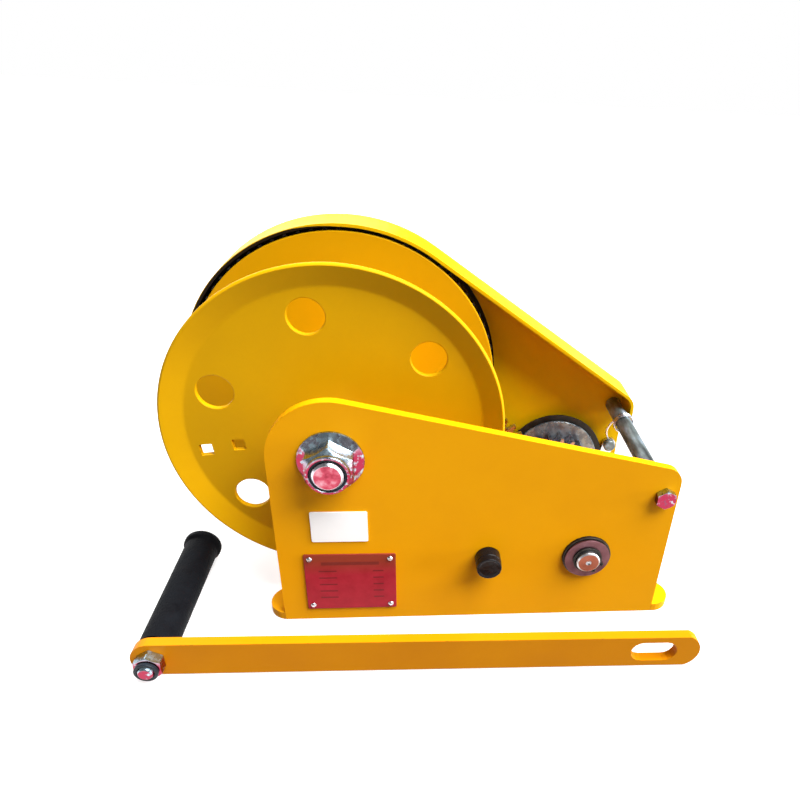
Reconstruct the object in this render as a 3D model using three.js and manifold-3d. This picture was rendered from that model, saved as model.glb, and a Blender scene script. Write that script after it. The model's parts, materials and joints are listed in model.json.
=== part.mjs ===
// Hand winch for wire rope: two side plates on a base, a drum on a fixed bolt, a two-stage
// gear train, a ratchet brake on the drive shaft, and a loose crank lying in front.
// Millimetres, +Z up. The group's origin is the middle of the base plate's underside. Inside it,
// X runs along the front side plate and Y from the front plate to the rear plate, both measured
// from the lower left front corner of the frame.
import * as THREE from 'three';
import { mergeVertices } from 'three/addons/utils/BufferGeometryUtils.js';
import Module from 'manifold-3d';

const wasm = await Module();
wasm.setup();

// ---------------------------------------------------------------- driving dimensions
const GAP = 0.3;                 // clearance between touching pieces
const PLATE_T = 6.4;             // side plates and base plate, quarter inch sheet
const FRAME_L = 277;             // side plates along X
const REAR_Y = 139.7;            // inner face of the rear plate
const BACK_Y = REAR_Y + PLATE_T; // outer face of the rear plate

const DRUM = { x: 41.2, z: 139 };
const COUNTER = { x: 146.4, z: 56.8 };
const DRIVE = { x: 218.4, z: 56.8 };
const TIE = { x: 266.8, z: 108.7 };
const PAWL = { x: 268.4, z: 69.5 };

const MODULE_MM = 3;             // tooth size of every gear
const DRUM_TEETH = 76;
const COUNTER_PINION_TEETH = 13;
const COUNTER_GEAR_TEETH = 31;
const DRIVE_TEETH = 17;
const TOOTH_HALF = { root: 2.8, tip: 1.1 };  // half of a tooth's thickness, on clear running gears

const FLANGE_R = 115.8;          // both drum flanges
const FLANGE_T = 4;
const FRONT_FLANGE_Y = 34.7;     // front edge of the dished rim
const DISH = 4.6;                // the rim stands this far in front of the web
const REAR_FLANGE_Y = 115;
const BARREL_R = 42;
const HUB_R = 18;
const HUB_BORE = 14.2;

const BOLT_R = 10;               // M20 drum bolt
const RIM_R = 121;               // guard rim around the drum gear
const RIM_T = 2.4;
const RIM_Y = 114.4;             // front edge of the guard rim

const DRUM_GEAR_Y = [REAR_FLANGE_Y + FLANGE_T + GAP, 125.0];
const STAGE_TWO_Y = [125.8, 130.7];
const RATCHET_R = 40.5;          // hidden behind the larger brake lining
const RATCHET_TEETH = 24;

const ARM_T = 7;                 // crank arm, standing on its edge
const ARM_H = 27;
const ARM_TURN = THREE.MathUtils.degToRad(-0.97);
const GRIP = { x: -76.8, y: -40.6, z: 14.3 };  // grip axis at the arm's rear face
const GRIP_L = 112;
const GRIP_FOOT = 2.6;           // the grip starts this far from the arm
const GRIP_BOLT_R = 5;
const ARM_REACH = 370.5;         // grip axis to the far tip of the arm
const EYE = { x0: 321, x1: 354, r: 8.6 };    // slot that fits over the crank hub's boss

// ---------------------------------------------------------------- colours and finishes
function finish(color, roughness, metalness) {
  return new THREE.MeshStandardMaterial({ color, roughness, metalness });
}

const YELLOW = finish(0xe8a005, 0.35, 0);
const ZINC = finish(0xc4c8cc, 0.3, 0.9);
const STEEL = finish(0x8f9296, 0.4, 0.9);
const BLACK_STEEL = finish(0x16150f, 0.5, 0.5);
const BRONZE = finish(0xa87b3d, 0.45, 0.8);
const RUBBER = finish(0x15161a, 0.8, 0);
const CRIMSON = finish(0xb0232e, 0.4, 0.2);
const WHITE = finish(0xf4f4f2, 0.4, 0);

const puller = new THREE.Group();
puller.position.set(-FRAME_L / 2, -BACK_Y / 2, 0);

// ---------------------------------------------------------------- geometry helpers
function weld(geometry) {
  const bare = geometry.clone();
  bare.deleteAttribute('normal');
  bare.deleteAttribute('uv');
  const merged = mergeVertices(bare, 1e-4);
  const index = merged.getIndex().array;
  const kept = [];
  for (let i = 0; i < index.length; i += 3) {
    const [a, b, c] = [index[i], index[i + 1], index[i + 2]];
    if (a !== b && b !== c && c !== a) kept.push(a, b, c);
  }
  merged.setIndex(kept);
  return merged;
}

function toSolid(geometry) {
  const welded = weld(geometry);
  const mesh = new wasm.Mesh({
    numProp: 3,
    vertProperties: new Float32Array(welded.getAttribute('position').array),
    triVerts: new Uint32Array(welded.getIndex().array),
  });
  return new wasm.Manifold(mesh);
}

function toGeometry(solid) {
  const mesh = solid.getMesh();
  const geometry = new THREE.BufferGeometry();
  geometry.setAttribute('position', new THREE.BufferAttribute(new Float32Array(mesh.vertProperties), 3));
  geometry.setIndex(Array.from(mesh.triVerts));
  return geometry;
}

const join = (...parts) => toGeometry(parts.map(toSolid).reduce((sum, next) => sum.add(next)));

function cut(body, ...tools) {
  return toGeometry(tools.map(toSolid).reduce((rest, tool) => rest.subtract(tool), toSolid(body)));
}

function add(name, geometry, material, parent = puller) {
  const piece = new THREE.Mesh(weld(geometry), material);
  piece.name = name;
  parent.add(piece);
  return piece;
}

// An outline in X and Z, extruded along Y from y0 to y1.
function slab(outline, y0, y1) {
  const geometry = new THREE.ExtrudeGeometry(outline, { depth: y1 - y0, bevelEnabled: false });
  geometry.rotateX(Math.PI / 2);
  geometry.translate(0, y1, 0);
  return geometry;
}

// A profile of (radius, y) points turned about an axis along Y at the given centre.
function turned(profile, centre, segments = 28) {
  const points = profile.map(([radius, y]) => new THREE.Vector2(radius, y));
  const geometry = new THREE.LatheGeometry(points, segments);
  geometry.translate(centre.x, 0, centre.z);
  return geometry;
}

function ring(outer, inner, y0, y1, centre, segments = 28) {
  return turned([[outer, y0], [outer, y1], [inner, y1], [inner, y0], [outer, y0]], centre, segments);
}

function rod(radius, y0, y1, centre, segments = 24) {
  return turned([[0, y0], [radius, y0], [radius, y1], [0, y1]], centre, segments);
}

// A circular arc, joined to the path by a straight line and drawn in the given number of chords.
function arc(path, x, z, radius, start, end, chords) {
  for (let i = 0; i <= chords; i += 1) {
    const angle = start + ((end - start) * i) / chords;
    const at = [x + radius * Math.cos(angle), z + radius * Math.sin(angle)];
    if (path.curves.length === 0 && path.currentPoint.lengthSq() === 0 && i === 0) path.moveTo(...at);
    else path.lineTo(...at);
  }
}

function circleHole(shape, x, z, radius, chords = 24) {
  const hole = new THREE.Path();
  arc(hole, x, z, radius, 2 * Math.PI, 0, chords);
  shape.holes.push(hole);
}

function polygonShape(points) {
  const shape = new THREE.Shape();
  points.forEach(([x, z], i) => (i ? shape.lineTo(x, z) : shape.moveTo(x, z)));
  shape.closePath();
  return shape;
}

function hexShape(acrossFlats, centre) {
  const radius = acrossFlats / Math.sqrt(3);
  const corners = [];
  for (let i = 0; i < 6; i += 1) {
    const angle = Math.PI / 6 + (i * Math.PI) / 3;
    corners.push([centre.x + radius * Math.cos(angle), centre.z + radius * Math.sin(angle)]);
  }
  return polygonShape(corners);
}

function roundedBox(x0, z0, x1, z1, radius) {
  const shape = new THREE.Shape();
  arc(shape, x1 - radius, z0 + radius, radius, -Math.PI / 2, 0, 4);
  arc(shape, x1 - radius, z1 - radius, radius, 0, Math.PI / 2, 4);
  arc(shape, x0 + radius, z1 - radius, radius, Math.PI / 2, Math.PI, 4);
  arc(shape, x0 + radius, z0 + radius, radius, Math.PI, 1.5 * Math.PI, 4);
  shape.closePath();
  return shape;
}

// A long round-ended slot, used for the crank's eye and the boss that it fits over.
function obround(x0, x1, z, radius, Kind = THREE.Shape) {
  const shape = new Kind();
  arc(shape, x1 - radius, z, radius, -Math.PI / 2, Math.PI / 2, 8);
  arc(shape, x0 + radius, z, radius, Math.PI / 2, 1.5 * Math.PI, 8);
  shape.closePath();
  return shape;
}

// ---------------------------------------------------------------- gears
// Straight-flanked teeth. One tooth points along toothAngle.
function gearShape(teeth, centre, toothAngle, bore) {
  const rootR = (MODULE_MM * (teeth - 2.5)) / 2;
  const tipR = (MODULE_MM * (teeth + 2)) / 2;
  const rootHalf = TOOTH_HALF.root / rootR;
  const tipHalf = TOOTH_HALF.tip / tipR;
  const corners = [];
  for (let i = 0; i < teeth; i += 1) {
    const middle = toothAngle + (i * 2 * Math.PI) / teeth;
    const steps = [[rootR, -rootHalf], [tipR, -tipHalf], [tipR, tipHalf], [rootR, rootHalf]];
    for (const [radius, offset] of steps) {
      const angle = middle + offset;
      corners.push([centre.x + radius * Math.cos(angle), centre.z + radius * Math.sin(angle)]);
    }
  }
  const shape = polygonShape(corners);
  circleHole(shape, centre.x, centre.z, bore, 32);
  return shape;
}

const direction = (from, to) => Math.atan2(to.z - from.z, to.x - from.x);

// The angle of a gear's tooth when a gap, not a tooth, has to face the given direction.
const gapFacing = (angle, teeth) => angle + Math.PI / teeth;

// ---------------------------------------------------------------- frame
const LEFT_R = DRUM.x;                                   // rounded corner, centred on the drum
const TOP_SLOPE = THREE.MathUtils.degToRad(12.45);
const RIGHT_R = 13;

// The outline from the tangent of an arc, down a straight slope, into a rounded corner at FRAME_L.
function slopeCorner(shape, arcR, slope, cornerR) {
  const normal = Math.PI / 2 - slope;
  const reach = arcR - cornerR;
  const dx = FRAME_L - cornerR - DRUM.x;
  const cornerZ = DRUM.z + (reach - dx * Math.cos(normal)) / Math.sin(normal);
  arc(shape, FRAME_L - cornerR, cornerZ, cornerR, 0, normal, 10);
  return cornerZ;
}

function frontPlateShape() {
  const shape = new THREE.Shape();
  shape.moveTo(0, 0);
  shape.lineTo(FRAME_L, 0);
  slopeCorner(shape, LEFT_R, TOP_SLOPE, RIGHT_R);
  arc(shape, DRUM.x, DRUM.z, LEFT_R, Math.PI / 2 - TOP_SLOPE, Math.PI, 20);
  shape.closePath();
  return shape;
}

const PLATE_BOLT_HOLE = BOLT_R + GAP;
const BEARING_R = 17.5;
const CAP_R = 9.1;
const COUNTER_R = 6.5;
const COUNTER_BUSH_R = 8.9;
const TIE_BOLT_R = 4;
const PAWL_PIN_R = 3;

const NAMEPLATE = { x0: 17.4, z0: 11.2, x1: 81.2, z1: 62, t: 1 };
const LABEL = { x0: 24.4, z0: 73, x1: 62.6, z1: 98.3, t: 0.6 };
const RIVET_INSET = 4;
const RIVET_R = 1.1;
const RIVET_HEAD_R = 2.1;
const RIVET_FOOT = 3;                                     // how deep the shank sits in the plate
const rivetCentres = [
  { x: NAMEPLATE.x0 + RIVET_INSET, z: NAMEPLATE.z0 + RIVET_INSET },
  { x: NAMEPLATE.x1 - RIVET_INSET, z: NAMEPLATE.z0 + RIVET_INSET },
  { x: NAMEPLATE.x1 - RIVET_INSET, z: NAMEPLATE.z1 - RIVET_INSET },
  { x: NAMEPLATE.x0 + RIVET_INSET, z: NAMEPLATE.z1 - RIVET_INSET },
];
const RIVET_HOLE = 1.4;

const COVER_R = 31;                                       // cap over the rear bearing
const SCREW_PITCH_R = 26.3;
const SCREW_R = 1.9;
const SCREW_HOLE = 2.3;
const coverScrews = [90, 210, 330].map((degrees) => {
  const angle = THREE.MathUtils.degToRad(degrees);
  return { x: DRIVE.x + SCREW_PITCH_R * Math.cos(angle), z: DRIVE.z + SCREW_PITCH_R * Math.sin(angle) };
});

function plateHoles(shape, bearing) {
  circleHole(shape, DRUM.x, DRUM.z, PLATE_BOLT_HOLE);
  circleHole(shape, COUNTER.x, COUNTER.z, COUNTER_BUSH_R + GAP);
  circleHole(shape, DRIVE.x, DRIVE.z, bearing + GAP);
  circleHole(shape, TIE.x, TIE.z, TIE_BOLT_R + GAP);
}

function frontSidePlate() {
  const shape = frontPlateShape();
  plateHoles(shape, BEARING_R);
  for (const rivet of rivetCentres) circleHole(shape, rivet.x, rivet.z, RIVET_HOLE, 10);
  add('front_side_plate', slab(shape, 0, PLATE_T), YELLOW);
}

const GUARD_SLOPE = THREE.MathUtils.degToRad(34.5);
const GUARD_END = THREE.MathUtils.degToRad(200);         // where the rim stops, left of the drum
const PLATE_END = THREE.MathUtils.degToRad(205);         // where the plate leaves the arc
const HEEL_Z = 16;
const TIP_R = 14;
const RIM_LOW_Z = 104;
const RIM_CHORDS = 40;

function rearPlateShape() {
  const shape = new THREE.Shape();
  shape.moveTo(0, 0);
  shape.lineTo(FRAME_L, 0);
  slopeCorner(shape, RIM_R, GUARD_SLOPE, TIP_R);
  const normal = Math.PI / 2 - GUARD_SLOPE;
  arc(shape, DRUM.x, DRUM.z, RIM_R, normal, GUARD_END, RIM_CHORDS);
  arc(shape, DRUM.x, DRUM.z, RIM_R, GUARD_END, PLATE_END, 1);
  shape.lineTo(0, HEEL_Z);
  shape.closePath();
  return shape;
}

// The pressed rim that stands forward from the rear plate and hoods the drum gear.
function guardRimShape() {
  const normal = Math.PI / 2 - GUARD_SLOPE;
  const shape = new THREE.Shape();
  shape.moveTo(FRAME_L, RIM_LOW_Z);
  const cornerZ = slopeCorner(shape, RIM_R, GUARD_SLOPE, TIP_R);
  arc(shape, DRUM.x, DRUM.z, RIM_R, normal, GUARD_END, RIM_CHORDS);
  arc(shape, DRUM.x, DRUM.z, RIM_R - RIM_T, GUARD_END, normal, RIM_CHORDS);
  arc(shape, FRAME_L - TIP_R, cornerZ, TIP_R - RIM_T, normal, 0, 10);
  shape.lineTo(FRAME_L - RIM_T, RIM_LOW_Z);
  shape.closePath();
  return shape;
}

function rearSidePlate() {
  const shape = rearPlateShape();
  plateHoles(shape, BEARING_R);
  circleHole(shape, PAWL.x, PAWL.z, PAWL_PIN_R + GAP);
  for (const screw of coverScrews) circleHole(shape, screw.x, screw.z, SCREW_HOLE, 12);
  const plate = slab(shape, REAR_Y, BACK_Y);
  const rim = slab(guardRimShape(), RIM_Y, REAR_Y + 1);
  add('rear_side_plate', join(plate, rim), YELLOW);
}

const LUG = { left: -12, right: 293, r: 14 };              // half-round corner lugs of the base
const MOUNT_SLOT = { r: 5.5, half: 11 };                  // for M10 bolts
const slotCentres = [30, 247].flatMap((x) => [36, 110].map((y) => ({ x, y })));

// The angle at which a corner lug's arc, centred at x, crosses a line of constant X.
const lugAngle = (line, x) => Math.acos((line - x) / LUG.r);

function basePlate() {
  const { r } = LUG;
  const left = LUG.left + r;
  const right = LUG.right - r;
  const notch = PLATE_T + GAP;
  const [leftEnd, leftPlate] = [0, -GAP].map((line) => lugAngle(line, left));
  const [rightEnd, rightPlate] = [FRAME_L, FRAME_L + GAP].map((line) => lugAngle(line, right));
  const shape = new THREE.Shape();
  arc(shape, left, r, r, leftEnd, 2 * Math.PI - leftPlate, 14);
  shape.lineTo(-GAP, notch);
  shape.lineTo(FRAME_L + GAP, notch);
  arc(shape, right, r, r, -rightPlate, rightEnd, 14);
  arc(shape, right, BACK_Y - r, r, -rightEnd, rightPlate, 14);
  shape.lineTo(FRAME_L + GAP, BACK_Y - notch);
  shape.lineTo(-GAP, BACK_Y - notch);
  arc(shape, left, BACK_Y - r, r, leftPlate, 2 * Math.PI - leftEnd, 14);
  shape.closePath();
  for (const { x, y } of slotCentres) {
    shape.holes.push(obround(x - MOUNT_SLOT.half, x + MOUNT_SLOT.half, y, MOUNT_SLOT.r, THREE.Path));
  }
  const geometry = new THREE.ExtrudeGeometry(shape, { depth: PLATE_T, bevelEnabled: false });
  add('base_plate', geometry, YELLOW);
}

const TIE_TUBE_R = 6.5;
const TIE_HEX = { flats: 13, headT: 5.3, nutT: 6.7 };     // M8 bolt and nut

function tieRod() {
  const bore = TIE_BOLT_R + GAP;
  add('tie_tube', ring(TIE_TUBE_R, bore, PLATE_T + GAP, REAR_Y - GAP, TIE, 20), STEEL);
  const head = slab(hexShape(TIE_HEX.flats, TIE), -TIE_HEX.headT - GAP, -GAP);
  const shank = rod(TIE_BOLT_R, -1, BACK_Y + 9.5, TIE, 20);
  add('tie_bolt', join(head, shank), ZINC);
  const nut = hexShape(TIE_HEX.flats, TIE);
  circleHole(nut, TIE.x, TIE.z, bore, 16);
  add('tie_bolt_nut', slab(nut, BACK_Y + GAP, BACK_Y + GAP + TIE_HEX.nutT), ZINC);
}

function labels() {
  const { x0, z0, x1, z1, t } = NAMEPLATE;
  const shape = roundedBox(x0, z0, x1, z1, 1);
  for (const rivet of rivetCentres) circleHole(shape, rivet.x, rivet.z, RIVET_HOLE, 10);
  add('nameplate', slab(shape, -t - GAP, -GAP), CRIMSON);
  const headY = -t - 2 * GAP;
  rivetCentres.forEach((rivet, i) => {
    const head = [[0, headY - 1.2], [1.3, headY - 0.9], [RIVET_HEAD_R, headY]];
    const shank = [[RIVET_R, headY], [RIVET_R, RIVET_FOOT], [0, RIVET_FOOT]];
    add(`nameplate_rivet_${i + 1}`, turned([...head, ...shank], rivet, 12), ZINC);
  });
  const sticker = roundedBox(LABEL.x0, LABEL.z0, LABEL.x1, LABEL.z1, 1);
  add('blank_label', slab(sticker, -LABEL.t - GAP, -GAP), WHITE);
}

// ---------------------------------------------------------------- drum and its bolt
const NUT_END = -16.5;                                    // front face of the nut's metal
const BOLT_TIP = -21;
const BOLT_FLATS = 30;                                    // M20 head and nut
const NUT_FLANGE_R = 21.4;
const WASHER_T = 3;
const BOLT_HEAD = [BACK_Y + WASHER_T + 2 * GAP, BACK_Y + 16];
const SPACER_R = 15.5;
const HUB_Y0 = 33;                                        // the hub tube and its bushings
const HUB_Y1 = 131.8;
const BUSHING_L = 25;

// A hexagon with a turned flange under it, its corners cut back by a cone.
function flangeNut() {
  const hex = slab(hexShape(BOLT_FLATS, DRUM), NUT_END, -2);
  const skirt = turned([
    [0, -4.6], [17, -4.6], [NUT_FLANGE_R, -2.2], [NUT_FLANGE_R, -GAP], [0, -GAP],
  ], DRUM, 28);
  const hood = turned([
    [0, -30], [12, NUT_END - 1], [NUT_FLANGE_R, -11], [NUT_FLANGE_R, 5], [0, 5],
  ], DRUM, 28);
  const bore = toSolid(rod(BOLT_R + GAP, -40, 10, DRUM, 24));
  return toGeometry(toSolid(hex).add(toSolid(skirt)).intersect(toSolid(hood)).subtract(bore));
}

function drumBolt() {
  const bore = BOLT_R + GAP;
  const head = slab(hexShape(BOLT_FLATS, DRUM), ...BOLT_HEAD);
  const shank = rod(BOLT_R, BOLT_TIP, BOLT_HEAD[0] + 1, DRUM, 24);
  add('drum_bolt', join(head, shank), ZINC);
  add('drum_bolt_washer', ring(18.5, bore, BACK_Y + GAP, BACK_Y + GAP + WASHER_T, DRUM, 24), ZINC);
  add('drum_flange_nut', flangeNut(), ZINC);
  add('nut_locking_ring', ring(13, bore, NUT_END - 2.8, NUT_END - GAP, DRUM, 24), RUBBER);
  add('front_spacer', ring(SPACER_R, bore, PLATE_T + GAP, HUB_Y0 - 0.4, DRUM, 20), STEEL);
  add('rear_spacer', ring(SPACER_R, bore, HUB_Y1 + 0.4, REAR_Y - GAP, DRUM, 20), STEEL);
}

const HOLE_PHASE = 40.3;                                  // degrees, of the first round hole
const WEB_HOLE_R = 12;
const WEB_HOLE_PITCH = 82;
const SQUARE_HOLE = 8.6;
const SQUARE_PITCHES = [68, 90.5];
const SQUARE_ANGLE = 190.5;                               // degrees, both square holes
const SQUARE_TURN = THREE.MathUtils.degToRad(-6);
const CREASE_R = 100.5;                                   // where the web turns into the rim
const BARREL_T = 4;

const polar = (radius, degrees) => ({
  x: DRUM.x + radius * Math.cos(THREE.MathUtils.degToRad(degrees)),
  z: DRUM.z + radius * Math.sin(THREE.MathUtils.degToRad(degrees)),
});

function flangeCutters() {
  const cutters = [];
  for (let i = 0; i < 6; i += 1) {
    cutters.push(rod(WEB_HOLE_R, 20, 60, polar(WEB_HOLE_PITCH, HOLE_PHASE + 60 * i), 24));
  }
  for (const radius of SQUARE_PITCHES) {
    const square = new THREE.BoxGeometry(SQUARE_HOLE, 40, SQUARE_HOLE);
    const { x, z } = polar(radius, SQUARE_ANGLE);
    square.rotateY(SQUARE_TURN);
    square.translate(x, 40, z);
    cutters.push(square);
  }
  return cutters;
}

function frontFlange(bore) {
  const front = FRONT_FLANGE_Y;
  const web = front + DISH;
  const dished = turned([
    [FLANGE_R - 1, front], [FLANGE_R, front + 1], [FLANGE_R, front + FLANGE_T - 0.8],
    [FLANGE_R - 0.8, front + FLANGE_T], [CREASE_R - 1, web + FLANGE_T], [bore, web + FLANGE_T],
    [bore, web], [CREASE_R, web], [FLANGE_R - 1, front],
  ], DRUM, 64);
  return cut(dished, ...flangeCutters());
}

function drum() {
  const outside = HUB_R + GAP;
  const barrelY = [FRONT_FLANGE_Y + DISH + FLANGE_T + GAP, REAR_FLANGE_Y - GAP];
  add('front_flange', frontFlange(outside), YELLOW);
  add('rear_flange', ring(FLANGE_R, outside, REAR_FLANGE_Y, REAR_FLANGE_Y + FLANGE_T, DRUM, 64), YELLOW);
  add('drum_barrel', ring(BARREL_R, BARREL_R - BARREL_T, ...barrelY, DRUM, 28), YELLOW);
  add('hub_tube', ring(HUB_R, HUB_BORE, HUB_Y0, HUB_Y1, DRUM, 20), STEEL);
  const bushing = [HUB_BORE - GAP, BOLT_R + GAP];
  add('drum_bushing_front', ring(...bushing, HUB_Y0, HUB_Y0 + BUSHING_L, DRUM, 20), BRONZE);
  add('drum_bushing_rear', ring(...bushing, HUB_Y1 - BUSHING_L, HUB_Y1, DRUM, 20), BRONZE);
  const gear = gearShape(DRUM_TEETH, DRUM, direction(DRUM, COUNTER), outside);
  add('drum_gear', slab(gear, ...DRUM_GEAR_Y), BLACK_STEEL);
}

// ---------------------------------------------------------------- countershaft
function countershaft() {
  add('countershaft', rod(COUNTER_R, -9.5, BACK_Y + 6, COUNTER, 20), STEEL);
  const toDrum = direction(COUNTER, DRUM);
  const toDrive = direction(COUNTER, DRIVE);
  const bore = COUNTER_R + GAP;
  const pinion = gearShape(COUNTER_PINION_TEETH, COUNTER, gapFacing(toDrum, COUNTER_PINION_TEETH), bore);
  add('counter_pinion', slab(pinion, DRUM_GEAR_Y[0], STAGE_TWO_Y[0] - GAP), STEEL);
  add('counter_gear', slab(gearShape(COUNTER_GEAR_TEETH, COUNTER, toDrive, bore), ...STAGE_TWO_Y), ZINC);
  add('counter_bushing_front', ring(COUNTER_BUSH_R, bore, GAP, PLATE_T + 8, COUNTER, 20), BRONZE);
  add('counter_bushing_rear', ring(COUNTER_BUSH_R, bore, REAR_Y - 4, BACK_Y + 1, COUNTER, 20), BRONZE);
  add('counter_collar', ring(12, bore, 109, DRUM_GEAR_Y[0] - GAP, COUNTER, 20), ZINC);
  add('counter_clip', ring(10.5, bore, BACK_Y + 1.5, BACK_Y + 3, COUNTER, 20), BLACK_STEEL);
  add('countershaft_cap', turned([
    [0, -13.2], [CAP_R - 1, -13.2], [CAP_R, -12.2], [CAP_R, -GAP], [bore, -GAP], [bore, -10], [0, -10],
  ], COUNTER, 24), RUBBER);
}

// ---------------------------------------------------------------- drive shaft and brake
const SHAFT_R = 8.5;
const HUB_Y = BACK_Y + 7.3;                               // crank hub, outside the rear plate
const HUB_FLANGE_T = 4;
const HUB_BOSS_T = 12;                                    // flange and boss together
const STUD_R = 5;                                         // threaded end of the drive shaft
const DISC_R = 38;
const LINING_R = 43;

function ratchetShape() {
  const depth = 2.2;
  const corners = [];
  for (let i = 0; i < RATCHET_TEETH; i += 1) {
    const start = ((i - 0.5) * 2 * Math.PI) / RATCHET_TEETH;
    const end = start + (2 * Math.PI) / RATCHET_TEETH;
    corners.push([DRIVE.x + RATCHET_R * Math.cos(start), DRIVE.z + RATCHET_R * Math.sin(start)]);
    const rootR = RATCHET_R - depth;
    corners.push([DRIVE.x + rootR * Math.cos(end - 0.05), DRIVE.z + rootR * Math.sin(end - 0.05)]);
  }
  const shape = polygonShape(corners);
  circleHole(shape, DRIVE.x, DRIVE.z, SHAFT_R + GAP);
  return shape;
}

function driveShaft() {
  const bore = SHAFT_R + GAP;
  const toCounter = direction(DRIVE, COUNTER);
  add('drive_shaft', turned([
    [0, -7.4], [1.6, -8.7], [SHAFT_R - 0.6, -8.7], [SHAFT_R, -8.1], [SHAFT_R, HUB_Y + HUB_FLANGE_T],
    [STUD_R, HUB_Y + HUB_FLANGE_T], [STUD_R, HUB_Y + 31], [0, HUB_Y + 31],
  ], DRIVE, 24), STEEL);
  const pinion = gearShape(DRIVE_TEETH, DRIVE, gapFacing(toCounter, DRIVE_TEETH), bore);
  add('drive_pinion', slab(pinion, 118, STAGE_TWO_Y[1]), ZINC);
  add('pressure_disc', ring(DISC_R, bore, 131.2, 133.4, DRIVE, 40), ZINC);
  add('friction_disc', ring(LINING_R, bore, 133.7, 135, DRIVE, 40), BLACK_STEEL);
  add('ratchet_wheel', slab(ratchetShape(), 135.3, 139), BLACK_STEEL);
  add('front_bearing', ring(BEARING_R, bore, -2.2, PLATE_T + 1.6, DRIVE, 28), BLACK_STEEL);
  add('rear_bearing', ring(BEARING_R, bore, REAR_Y + GAP, BACK_Y + 2, DRIVE, 28), BLACK_STEEL);
  add('shaft_washer', ring(16.4, bore, -3.9, -2.5, DRIVE, 28), ZINC);
  add('shaft_clip', ring(11.4, bore, -5.4, -4.2, DRIVE, 24), BLACK_STEEL);
}

const COVER_RIM_T = 3.2;

function bearingCover() {
  const foot = BACK_Y + GAP;
  const rim = foot + COVER_RIM_T;
  const seat = foot + 3;
  const crown = foot + 6;
  const outside = [[COVER_R, foot], [COVER_R, rim], [22, rim], [20.5, crown], [SHAFT_R + 2, crown]];
  const inside = [[SHAFT_R + 2, seat], [BEARING_R + GAP, seat], [BEARING_R + GAP, foot], [COVER_R, foot]];
  const holes = coverScrews.map((at) => rod(SCREW_HOLE, foot - 2, crown + 4, at, 12));
  add('bearing_cover', cut(turned([...outside, ...inside], DRIVE, 28), ...holes), YELLOW);
  coverScrews.forEach((at, i) => {
    const top = rim + GAP;
    const end = REAR_Y + 1;
    const profile = [[0, end], [SCREW_R, end], [SCREW_R, top], [3.6, top], [3, top + 1.8], [0, top + 2.2]];
    add(`cover_screw_${i + 1}`, turned(profile, at, 12), ZINC);
  });
}

// The boss that the crank's eye slips over, with the washer and nut that hold it there.
function crankHub() {
  const bore = STUD_R + GAP;
  const flange = rod(22, HUB_Y, HUB_Y + HUB_FLANGE_T, DRIVE, 28);
  const boss = slab(obround(DRIVE.x - 15.8, DRIVE.x + 15.8, DRIVE.z, 8), HUB_Y + 3, HUB_Y + HUB_BOSS_T);
  const shoulderBore = rod(SHAFT_R + GAP, HUB_Y - 1, HUB_Y + HUB_FLANGE_T + GAP, DRIVE, 24);
  const studBore = rod(bore, HUB_Y - 1, HUB_Y + HUB_BOSS_T + 1, DRIVE, 20);
  add('crank_hub', cut(join(flange, boss), shoulderBore, studBore), ZINC);
  const washerY = HUB_Y + HUB_BOSS_T + GAP;
  add('hub_washer', ring(19, bore, washerY, washerY + 2.5, DRIVE, 24), ZINC);
  const nutY = washerY + 2.5 + GAP;
  const nut = hexShape(17, DRIVE);
  circleHole(nut, DRIVE.x, DRIVE.z, bore);
  add('hub_nut', slab(nut, nutY, nutY + 8.9), ZINC);
}

// ---------------------------------------------------------------- pawl
// The pawl's tip stays just outside the ratchet teeth, so that the wheel can turn past it.
const PAWL_Y = [135.4, 138.9];
const TIP_CLEARANCE = 0.5;                                // from the circle of the tooth tips

function pawl() {
  const tipAngle = THREE.MathUtils.degToRad(-11);
  const tipR = RATCHET_R + TIP_CLEARANCE;
  const tip = { x: DRIVE.x + tipR * Math.cos(tipAngle), z: DRIVE.z + tipR * Math.sin(tipAngle) };
  const shape = new THREE.Shape();
  arc(shape, PAWL.x, PAWL.z, 6, THREE.MathUtils.degToRad(-20), THREE.MathUtils.degToRad(190), 12);
  shape.lineTo(tip.x, tip.z);
  shape.lineTo(tip.x + 4.5, tip.z - 2.5);
  shape.closePath();
  circleHole(shape, PAWL.x, PAWL.z, PAWL_PIN_R + GAP, 16);
  add('pawl', slab(shape, ...PAWL_Y), ZINC);
  const shoulder = PAWL_Y[0] - GAP;
  const end = BACK_Y + 1;
  add('pawl_pin', turned([
    [0, shoulder - 3.5], [4.6, shoulder - 3.5], [5.2, shoulder - 2.9], [5.2, shoulder],
    [PAWL_PIN_R, shoulder], [PAWL_PIN_R, end], [0, end],
  ], PAWL, 20), ZINC);
}

const SPRING = { wireR: 0.8, coilR: 8, turns: 2.1, y: 102, length: 4.4, start: Math.PI * 0.45 };

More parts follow.
